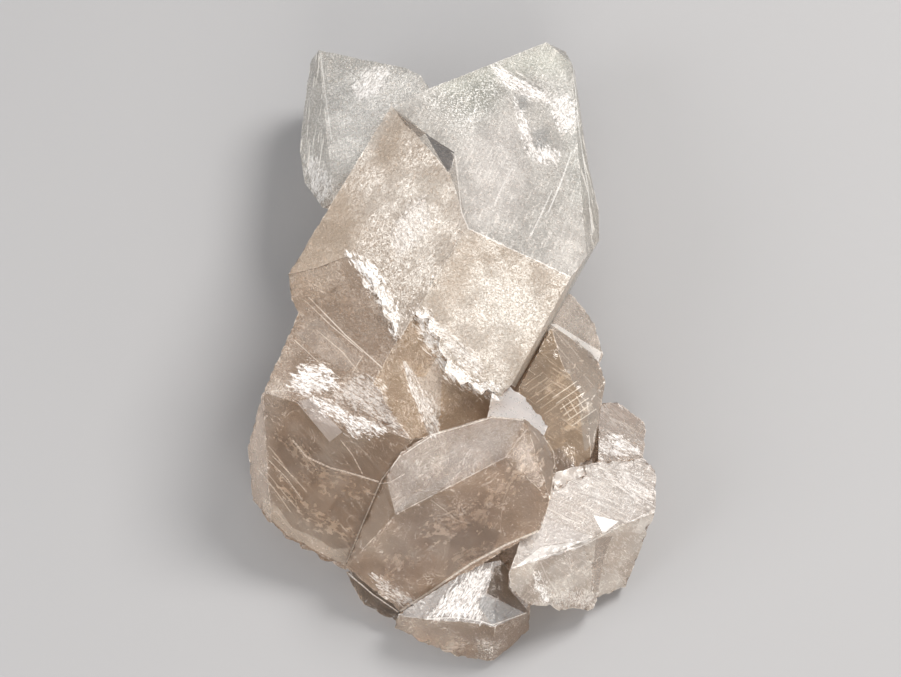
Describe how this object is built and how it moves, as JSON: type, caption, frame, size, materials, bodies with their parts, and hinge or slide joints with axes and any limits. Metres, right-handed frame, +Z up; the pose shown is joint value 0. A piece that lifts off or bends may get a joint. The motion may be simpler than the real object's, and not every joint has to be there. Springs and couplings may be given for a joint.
{
  "type": "smoky quartz specimen",
  "caption": "Cluster of intergrown smoky quartz crystals with flat pointed faces, lying on its broken underside.",
  "frame": {"origin": "centre of the footprint, on the surface that the specimen lies on", "axes": "+Z up from the surface, +Y towards the crystal tips, +X to the right of a viewer who looks along +Y"},
  "size_m": [0.0972, 0.1584, 0.061],
  "materials": {
    "smoky_quartz": "glossy faces with frosted and broken patches"
  },
  "bodies": {
    "root": {"quartz_cluster": "smoky_quartz"}
  },
  "joints": []
}
